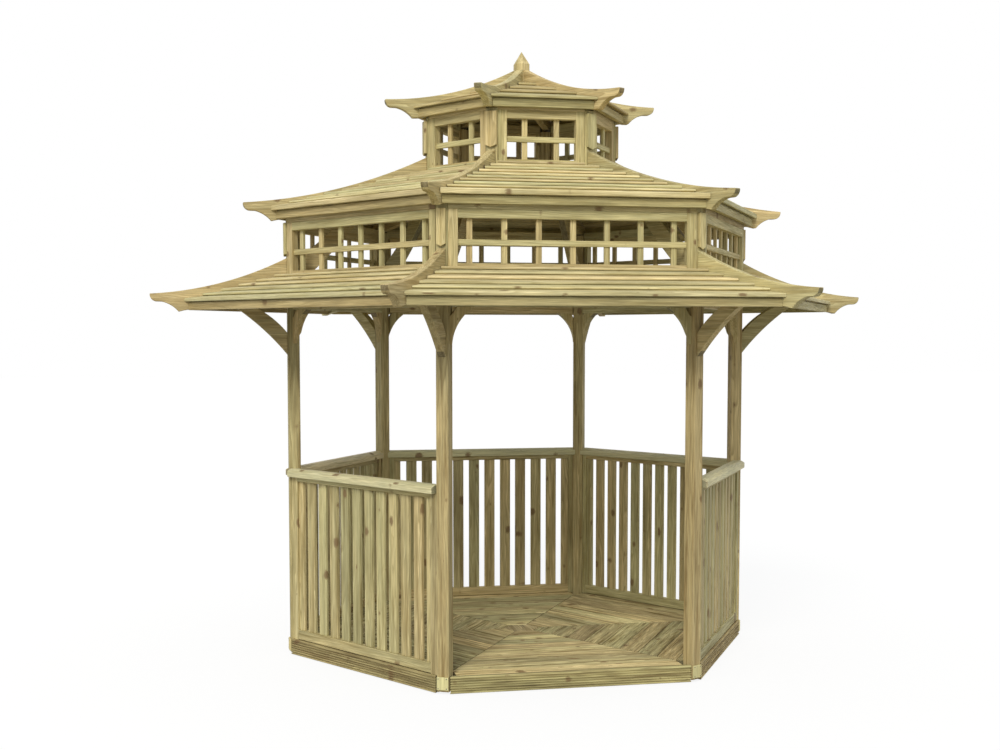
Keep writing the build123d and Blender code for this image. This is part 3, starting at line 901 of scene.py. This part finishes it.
@dataclass
class Beams:
    """The beams that tie the posts, with their arched braces.

    A beam brace is drawn in distances from the corner line and heights, and a hip brace in
    distances from the centre and heights.
    """

    finishes: Finishes
    foot: float = 2076.0
    top: float = 2221.0
    inner: float = 1190.0
    outer: float = 1235.0
    brace_curve: Curve = ((40.0, 1875.0), (78.0, 1993.0), (164.0, 2076.0))
    brace_corners: tuple[Flat, ...] = ((66.0, 2076.0), (35.0, 2030.0), (0.0, 2030.0), (0.0, 1875.0))
    hip_under: Curve = ((POST_FACE, 1808.0), (1590.0, 1971.0), (1790.0, 2122.0))
    hip_over: Curve = ((1720.0, 2128.0), (1556.0, 2050.0), (POST_FACE, 1937.0))

    def build(self) -> None:
        """Builds the ring of beams and both sets of braces."""
        beams = Piece("ring_beam_boards", 101)
        braces = Piece("arched_beam_braces", 102)
        hips = Piece("arched_hip_braces", 103)
        for angle in SIDES.values():
            low, high = (self.inner, -UNCUT, self.foot), (self.outer, UNCUT, self.top)
            beams.add(sawn(low, high, corner_cuts(POST_HALF)), Grain.Y, angle)
            for sign in (-1, 1):
                braces.add(self.beam_brace(sign), Grain.Z, angle)
        for angle in CORNERS.values():
            hips.add(self.hip_brace(), Grain.X, angle)
        beams.finish([self.finishes.frame], "treated_frame", "ring_beams")
        braces.finish([self.finishes.rafter], "treated_frame", "beam_braces")
        hips.finish([self.finishes.rafter], "treated_frame", "hip_braces")

    def beam_brace(self, sign: int) -> bmesh.types.BMesh:
        """An arched brace from a post's flank to the underside of a beam.

        Args:
            sign: -1 for the brace at the side's left end, as seen from outside, or 1 for the right.

        Returns:
            The brace as a bmesh.
        """
        middle = (self.inner + self.outer) / 2
        points = [(POST_CIRCLE / 2 - inset, z) for inset, z in self.brace_curve + self.brace_corners]
        outline = arc(*points[:3], steps=10) + points[3:]
        start, end = middle - RAFTER_THICK / 2, middle + RAFTER_THICK / 2
        outline = [(sign * y, z) for y, z in outline]
        return moulded(outline, start, end, corner_cuts(POST_HALF), upright=False)

    def hip_brace(self) -> bmesh.types.BMesh:
        """An arched brace from a post's outer face to the hip rafter over it."""
        outline = arc(*self.hip_under, steps=12) + arc(*self.hip_over, steps=12)
        return moulded(outline, -RAFTER_THICK / 2, RAFTER_THICK / 2)


@dataclass
class Roof:
    """One roof: six upswept hip rafters with ogee tails, and lapped boards between them.

    The tail's two curves are drawn in distances in and down from the rafter's tip. A board's nose
    is drawn in from its face, first up from its foot and then down from its top. Its upper edge is
    drawn in from where its cover ends and up from the line that it rests on.
    """

    finishes: Finishes
    name: str
    seed: int
    tip: float
    tip_z: float
    tip_slope: float
    bow: float
    root: float
    nose: float
    nose_z: float
    rise: float
    cover: float
    inner: float
    eaves: float
    eaves_z: Flat
    depth: float = 118.0
    tail_round: Curve = ((0.0, 0.0), (8.0, 30.0), (34.0, 46.0))
    tail_cove: Curve = ((68.0, 47.0), (118.0, 66.0), (165.0, 106.0))
    eaves_thick: float = 28.0
    batten_back: float = 10.0
    batten_z: Flat = (-5.0, 17.0)
    end_gap: Flat = (1.0, 6.0)
    board_thick: float = 19.0
    shadow_gap: Flat = (2.0, 4.5)
    eaves_gap: float = 4.0
    second_gap: float = 3.0
    nose_foot: Curve = ((6.0, 0.0), (1.5, 1.5), (0.0, 4.0))
    nose_top: tuple[Flat, ...] = ((0.0, 7.5), (1.0, 4.0), (3.6, 1.3), (8.5, 0.0))
    plain_edge: tuple[Flat, ...] = ((0.0, 1.0), (0.0, -7.0))
    rebated_edge: tuple[Flat, ...] = ((0.0, 1.0), (10.0, 1.5), (10.0, 8.0), (24.0, 8.0), (24.0, -7.0))

    def build(self) -> None:
        """Builds the rafters, the eaves boards and the roof boards."""
        rafters = Piece(f"upswept_{self.name}_rafters", self.seed)
        for angle in CORNERS.values():
            rafters.add(self.rafter(), Grain.X, angle)
        rafters.finish([self.finishes.rafter], "treated_frame", f"{self.name}_hip_rafters")
        low, high = self.eaves_z
        foot, head = (high + rise for rise in self.batten_z)
        back = self.eaves - self.eaves_thick
        front = self.eaves - self.batten_back
        ends = corner_cuts(RAFTER_THICK / 2 + self.end_gap[0])
        eaves = Piece(f"{self.name}_eaves_boards", self.seed + 1)
        boards = Piece(f"{self.name}_roof_boards", self.seed + 2)
        for angle in SIDES.values():
            eaves.add(sawn((back, -UNCUT, low), (self.eaves, UNCUT, high), ends), Grain.Y, angle)
            # A batten behind the eaves board closes the gap under the first roof board
            eaves.add(sawn((back, -UNCUT, foot), (front, UNCUT, head), ends), Grain.Y, angle)
            for outline in self.courses(boards.chance):
                gaps = [RAFTER_THICK / 2 + boards.chance.uniform(*self.end_gap) for _ in range(2)]
                boards.add(moulded(outline, -UNCUT, UNCUT, corner_cuts(*gaps), radius=0), Grain.Y, angle)
        timber = self.finishes.high_roof if self.name == "upper" else self.finishes.roof
        eaves.finish([self.finishes.high_roof], "roof_board", f"{self.name}_eaves")
        boards.finish([timber], "roof_board", f"{self.name}_roof")

    def rafter_top(self, reach: float) -> float:
        """Height of the rafter's top edge, which is an arc that steepens towards the centre.

        Args:
            reach: Distance from the centre.

        Returns:
            The height there.
        """
        start = math.radians(self.tip_slope)
        here = math.asin(math.sin(start) + (self.tip - reach) / self.bow)
        return self.tip_z + self.bow * (math.cos(start) - math.cos(here))

    def board_line(self, reach: float) -> float:
        """Height of the line that the boards rest on, at a distance out to the side."""
        return self.nose_z + self.rise * (self.nose - reach)

    def rafter(self) -> bmesh.types.BMesh:
        """A rafter with an upswept top edge, a parallel underside and an ogee tail.

        Returns:
            The rafter as a bmesh.
        """
        steps = 22
        top = [self.root + (self.tip - self.root) * i / steps for i in range(steps + 1)]
        outline = [(x, self.rafter_top(x)) for x in top]
        tail = self.tail_round + self.tail_cove
        tail = [(self.tip - inward, self.tip_z - drop) for inward, drop in tail]
        outline += arc(*tail[:3], steps=6)[1:] + arc(*tail[3:], steps=8)
        cove_end = tail[-1][0]
        under = [cove_end + (self.root - cove_end) * i / steps for i in range(1, steps + 1)]
        outline += [(x, self.rafter_top(x) - self.depth) for x in under]
        return moulded(outline, -RAFTER_THICK / 2, RAFTER_THICK / 2, radius=2.5)

    def courses(self, chance: random.Random) -> list[list[Flat]]:
        """Outlines of the boards from the eaves up, each with a rounded nose and a shadow gap below.

        All but the last have a rebated upper edge, which closes the gap under the next board's nose.

        Args:
            chance: The piece's run of chance, for how closely the boards lie.

        Returns:
            One outline for each board.
        """
        count = math.ceil((self.nose - self.inner) / self.cover)
        outlines = []
        for course in range(count):
            low = self.nose - self.cover * course
            high = max(low - self.cover, self.inner)
            foot = self.board_line(low) + chance.uniform(*self.shadow_gap)
            if course == 0:
                foot = self.eaves_z[1] + self.eaves_gap
            elif course == 1:
                foot += self.second_gap
            top, head = self.board_line(low) + self.board_thick, self.board_line(high)
            edge = self.rebated_edge if course < count - 1 else self.plain_edge
            outline = [(low - inward, foot + rise) for inward, rise in self.nose_foot]
            outline += [(low - inward, top - drop) for inward, drop in self.nose_top]
            outline += [(high - inward, head + rise) for inward, rise in edge]
            outlines.append(outline)
        return outlines


@dataclass
class Storey:
    """A low open storey: lattices between corner posts, cover boards and wall plates."""

    finishes: Finishes
    name: str
    seed: int
    out: float
    foot: float
    head: float
    foot_rail: float
    cross: float
    bars: int
    pitch: float
    cover_face: float
    cover_wide: float
    cover_z: Flat
    deep: float = 45.0
    stile: float = 29.0
    stile_gap: float = 1.5
    housing: float = 2.0
    head_rail: float = 48.0
    bar: float = 32.0
    bar_thick: float = 18.0
    plate_tall: float = 50.0
    cover_thick: float = 18.0
    cover_point: float = 14.0
    one_node: bool = False

    def build(self) -> None:
        """Builds the lattices, the plates over them and the corner covers."""
        if self.one_node:
            lattices = Piece(f"{self.name}_lattice_screens", self.seed)
            for angle in SIDES.values():
                self.lattice(lattices, angle)
            lattices.finish([self.finishes.lattice], "lattice_timber", f"{self.name}_lattices")
        else:
            for number, (side, angle) in enumerate(SIDES.items()):
                lattice = Piece(f"{self.name}_lattice_screen_{side}", self.seed + number)
                self.lattice(lattice, angle)
                lattice.finish([self.finishes.lattice], "lattice_timber", f"{self.name}_lattice_{side}")
        plates = Piece(f"{self.name}_wall_plate_boards", self.seed + 7)
        low = self.out - self.deep, -UNCUT, self.head
        high = self.out, UNCUT, self.head + self.plate_tall
        for angle in SIDES.values():
            plates.add(sawn(low, high, corner_cuts(POST_HALF)), Grain.Y, angle)
        plates.finish([self.finishes.frame], "treated_frame", f"{self.name}_wall_plates")
        covers = Piece(f"{self.name}_corner_cover_boards", self.seed + 8)
        for angle in CORNERS.values():
            covers.add(self.cover(), Grain.Z, angle)
        covers.finish([self.finishes.lattice], "treated_post", f"{self.name}_corner_covers")

    def lattice(self, piece: Piece, angle: float) -> None:
        """Adds one side's frame and bars to a piece.

        Args:
            piece: The piece that takes them.
            angle: Degrees about +Z to the side.
        """
        back = self.out - self.deep
        clear = side_half(back, POST_HALF) - self.stile
        ends = corner_cuts(POST_HALF + self.stile_gap)
        for sign in (-1, 1):
            low, high = sorted((sign * clear, sign * UNCUT))
            stile = sawn((back, low, self.foot), (self.out, high, self.head), ends)
            piece.add(stile, Grain.Z, angle)
        low, high = self.foot + self.foot_rail, self.head - self.head_rail
        piece.add(sawn((back, -clear, self.foot), (self.out, clear, low)), Grain.Y, angle)
        piece.add(sawn((back, -clear, high), (self.out, clear, self.head)), Grain.Y, angle)
        face = back + self.deep / 2 - self.bar_thick
        half = self.bar / 2
        # The bars' ends are housed in the frame
        low, high = low - self.housing, high + self.housing
        for number in range(self.bars):
            y = (number - (self.bars - 1) / 2) * self.pitch
            piece.add(sawn((face, y - half, low), (face + self.bar_thick, y + half, high)), Grain.Z, angle)
        # The cross bar is halved over them
        front = face + self.bar_thick / 2
        reach = clear + self.housing
        low, high = self.cross - half, self.cross + half
        piece.add(sawn((front, -reach, low), (front + self.bar_thick, reach, high)), Grain.Y, angle)

    def cover(self) -> bmesh.types.BMesh:
        """A cover board on a corner post's outer face, its foot cut to a point.

        Returns:
            The board as a bmesh.
        """
        foot, head = self.cover_z
        half = self.cover_wide / 2
        side = foot + self.cover_point
        outline = [(0, foot), (half, side), (half, head), (-half, head), (-half, side)]
        return moulded(outline, self.cover_face, self.cover_face + self.cover_thick, upright=False)


@dataclass
class InnerBraces:
    """Arched braces inside the middle storey, from the posts' inner faces to the rafters over them."""

    finishes: Finishes
    under: Curve = ((1366.0, 2225.0), (1160.0, 2425.0), (885.0, 2757.0))
    over: Curve = ((1040.0, 2708.0), (1200.0, 2520.0), (1366.0, 2385.0))

    def build(self) -> None:
        """Builds the six braces as one piece."""
        braces = Piece("inner_storey_braces", 120)
        outline = arc(*self.under, steps=10) + arc(*self.over, steps=10)
        for angle in CORNERS.values():
            braces.add(moulded(outline, -RAFTER_THICK / 2, RAFTER_THICK / 2), Grain.X, angle)
        braces.finish([self.finishes.rafter], "treated_frame")


@dataclass
class Finial:
    """The six-sided king post and its pointed cap."""

    finishes: Finishes
    flat: float = 44.0
    foot: float = 3360.0
    shoulder: float = 3569.0
    tip: float = 3644.0
    bluntness: float = 0.02

    def build(self) -> None:
        """Builds the king post as one sawn and pointed piece."""
        finial = Piece("pointed_king_post", 301)
        post = six_sided(self.flat, self.foot, self.shoulder, 0)
        top = max(post.faces, key=lambda face: face.calc_center_median().z)
        point = bmesh.ops.extrude_discrete_faces(post, faces=[top])["faces"][0]
        bmesh.ops.translate(post, vec=(0, 0, self.tip - self.shoulder), verts=point.verts)
        bmesh.ops.scale(post, vec=(self.bluntness, self.bluntness, 1), verts=point.verts)
        bmesh.ops.recalc_face_normals(post, faces=post.faces)
        finial.add(post, Grain.Z)
        finial.finish([self.finishes.lattice], "treated_frame", "king_post_finial")


@dataclass
class Studio:
    """A white floor and backdrop, soft daylight from the front, and the photograph's camera."""

    eye: Point = (-2.1182, -9.1693, 1.9294)
    pitch: float = 85.64
    turn: float = -12.21
    lens: float = 54.653
    lift: float = 0.0751
    sun_strength: float = 2.2
    sun_height: float = 36.0
    sun_turn: float = -24.0
    sun_spread: float = 22.0
    sky_strength: float = 0.86
    floor_reach: float = 60.0
    floor_drop: float = 0.002
    floor_glow: float = 0.86

    def build(self) -> None:
        """Builds the floor, the sky, the sun and the camera."""
        bpy.context.scene.view_settings.view_transform = "Standard"
        self.floor()
        self.world()
        self.sun()
        self.camera()

    def looking(self, tree: bpy.types.NodeTree) -> bpy.types.NodeSocket:
        """Adds what tells the rays that look at the studio, directly or in a gloss, from its light.

        Args:
            tree: The floor's or the world's tree.

        Returns:
            1 for a ray that looks and 0 for one that lights.
        """
        node = partial(add_node, tree)
        eye = node("LightPath", {}, out="Is Camera Ray")
        gloss = node("LightPath", {}, out="Is Glossy Ray")
        through = node("LightPath", {}, out="Is Transmission Ray")
        seen = node("Math", {0: eye, 1: gloss}, {"operation": "MAXIMUM"})
        return node("Math", {0: seen, 1: through}, {"operation": "MAXIMUM"})

    def floor(self) -> None:
        """A floor that is white to the eye, keeps a faint shadow and throws little light back up."""
        mesh = bpy.data.meshes.new("studio_floor")
        plane = bmesh.new()
        bmesh.ops.create_grid(plane, x_segments=1, y_segments=1, size=self.floor_reach)
        bmesh.ops.translate(plane, vec=(0, 0, -self.floor_drop), verts=plane.verts)
        plane.to_mesh(mesh)
        plane.free()
        floor = bpy.data.objects.new("studio_floor", mesh)
        bpy.context.scene.collection.objects.link(floor)
        material, node = blank_material("studio_white")
        white = node("BsdfDiffuse", {"Color": linear("#F4F4F2")})
        grey = node("BsdfDiffuse", {"Color": linear("#A5A298")})
        glow = node("Emission", {"Color": (1, 1, 1, 1), "Strength": 1.0})
        shown = node("MixShader", {0: self.floor_glow, 1: white, 2: glow})
        surface = node("MixShader", {0: self.looking(material.node_tree), 1: grey, 2: shown})
        node("OutputMaterial", {"Surface": surface})
        mesh.materials.append(material)

    def world(self) -> None:
        """White to the eye and in a gloss, and an even sky to everything else."""
        world = bpy.data.worlds.new("studio_sky")
        world.use_nodes = True
        tree = world.node_tree
        tree.nodes.clear()
        node = partial(add_node, tree)
        sky = node("Background", {"Color": linear("#F7FAFF"), "Strength": self.sky_strength})
        white = node("Background", {"Color": (1, 1, 1, 1), "Strength": 1.0})
        node("OutputWorld", {"Surface": node("MixShader", {0: self.looking(tree), 1: sky, 2: white})})
        bpy.context.scene.world = world

    def sun(self) -> None:
        """A broad, soft sun behind the camera."""
        sun = bpy.data.lights.new("soft_sun", "SUN")
        sun.energy = self.sun_strength
        sun.angle = math.radians(self.sun_spread)
        sun.color = linear("#FFFBF2")[:3]
        lamp = bpy.data.objects.new("soft_sun", sun)
        lamp.rotation_euler = (math.radians(90 - self.sun_height), 0, math.radians(self.sun_turn))
        bpy.context.scene.collection.objects.link(lamp)

    def camera(self) -> None:
        """The photograph's camera, at a standing person's eye height."""
        data = bpy.data.cameras.new("photograph_camera")
        data.lens = self.lens
        data.shift_y = self.lift
        data.clip_end = 300.0
        camera = bpy.data.objects.new("photograph_camera", data)
        camera.location = self.eye
        camera.rotation_euler = (math.radians(self.pitch), 0, math.radians(self.turn))
        bpy.context.scene.collection.objects.link(camera)
        bpy.context.scene.camera = camera


def main() -> None:
    """Builds the studio and every sub-assembly of the gazebo in order."""
    logging.basicConfig(level=logging.INFO)
    Studio().build()
    finishes = Finishes()
    parts = [
        Base(finishes),
        Posts(finishes),
        Balustrade(finishes),
        Beams(finishes),
        Roof(
            finishes, "lower", seed=110, tip=2234, tip_z=2168, tip_slope=3.0, bow=1980, root=POST_FACE,
            nose=1776, nose_z=2124, rise=0.3145, cover=90, inner=1263, eaves=1755, eaves_z=(2072, 2117),
        ),
        Storey(
            finishes, "middle", seed=130, out=1262, foot=2221, head=2588, foot_rail=83, cross=2413.5,
            bars=7, pitch=189, cover_face=POST_FACE, cover_wide=50, cover_z=(2390, 2590),
        ),
        InnerBraces(finishes),
        Roof(
            finishes, "middle", seed=150, tip=1688, tip_z=2706, tip_slope=3.8, bow=3000, root=590,
            nose=1334, nose_z=2672, rise=0.295, cover=90, inner=520, eaves=1308, eaves_z=(2612, 2656),
        ),
        Storey(
            finishes, "upper", seed=170, out=520, foot=2872, head=3219, foot_rail=66, cross=3054.5,
            bars=2, pitch=190, cover_face=590, cover_wide=70, cover_z=(3003, 3210), one_node=True,
        ),
        Roof(
            finishes, "upper", seed=190, tip=840, tip_z=3333, tip_slope=0.5, bow=1750, root=44,
            nose=596, nose_z=3279, rise=0.315, cover=150, inner=48, eaves=568, eaves_z=(3231, 3277),
        ),
        Finial(finishes),
    ]
    for part in parts:
        part.build()
        LOG.info("%s built", type(part).__name__)


if __name__ == "__main__":
    main()
